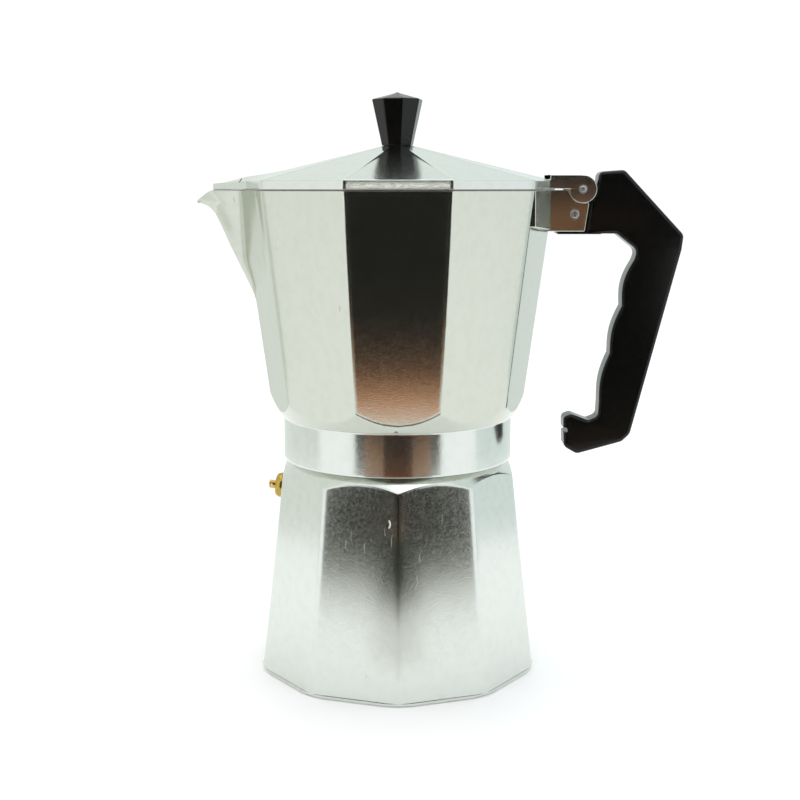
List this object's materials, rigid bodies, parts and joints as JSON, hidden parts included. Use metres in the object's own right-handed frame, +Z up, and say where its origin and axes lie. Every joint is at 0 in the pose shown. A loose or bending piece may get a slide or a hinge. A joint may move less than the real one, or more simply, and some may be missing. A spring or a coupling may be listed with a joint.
{
  "type": "moka pot",
  "caption": "Ten-sided aluminium stovetop coffee pot: boiler with safety valve, funnel and filter, screw-on collector with pouring spout, hinged lid and black handle.",
  "frame": {"origin": "centre of the boiler base, on the surface the pot stands on", "axes": "+Z up along the pot, spout towards -X, handle towards +X"},
  "size_m": [0.2106, 0.1302, 0.2515],
  "materials": {
    "cast_aluminium": "satin polished casting",
    "sheet_aluminium": "bright pressed sheet",
    "column_aluminium": "as-cast, dull",
    "brass": "polished turned brass",
    "brass_stem": "turned brass",
    "seal_white": "matte silicone",
    "gasket_rubber": "matte food-grade rubber",
    "spring_steel": "drawn wire",
    "pin_steel": "turned steel",
    "washer_steel": "stamped steel",
    "black_plastic": "satin black moulded plastic"
  },
  "bodies": {
    "boiler": {"boiler": "cast_aluminium", "valve_body": "brass", "valve_washer": "seal_white", "valve_nut": "brass", "valve_spring": "spring_steel"},
    "valve_stem": {"valve_stem": "brass_stem"},
    "funnel": {"funnel": "sheet_aluminium", "funnel_screen": "sheet_aluminium"},
    "gasket": {"gasket": "gasket_rubber"},
    "filter_plate": {"filter_plate": "sheet_aluminium"},
    "collector": {"collector": "cast_aluminium", "column": "column_aluminium", "column_cap": "column_aluminium", "handle": "black_plastic", "handle_pin": "pin_steel", "hinge_pin": "pin_steel"},
    "lid": {"lid": "cast_aluminium", "knob": "black_plastic", "knob_screw": "pin_steel", "knob_washer": "washer_steel"}
  },
  "joints": [
    {"name": "valve_pull", "type": "slide", "parent": "boiler", "child": "valve_stem", "axis": [-0.994, 0, 0.1098], "range_m": [0, 0.002], "stiffness_N_per_m": 1500, "springref_m": -0.002, "deforming": ["valve_spring"]},
    {"name": "funnel_lift", "type": "slide", "parent": "boiler", "child": "funnel", "axis": [0, 0, 1], "range_m": [0, 0.115]},
    {"name": "top_lift", "type": "slide", "parent": "funnel", "child": "gasket", "axis": [0, 0, 1], "range_m": [0, 0.12]},
    {"name": "thread_rise", "type": "slide", "parent": "gasket", "child": "filter_plate", "axis": [0, 0, 1], "range_m": [0, 0.0105]},
    {"name": "collector_unscrew", "type": "hinge", "parent": "filter_plate", "child": "collector", "pos_m": [0, 0, 0.1015], "axis": [0, 0, 1], "range_deg": [0, 1080]},
    {"name": "lid_open", "type": "hinge", "parent": "collector", "child": "lid", "pos_m": [0.0788, 0, 0.2107], "axis": [0, 1, 0], "range_deg": [0, 100]}
  ],
  "couplings": [
    {"joint": "thread_rise", "follows": "collector_unscrew", "m_per_rad": 0.00055704}
  ]
}
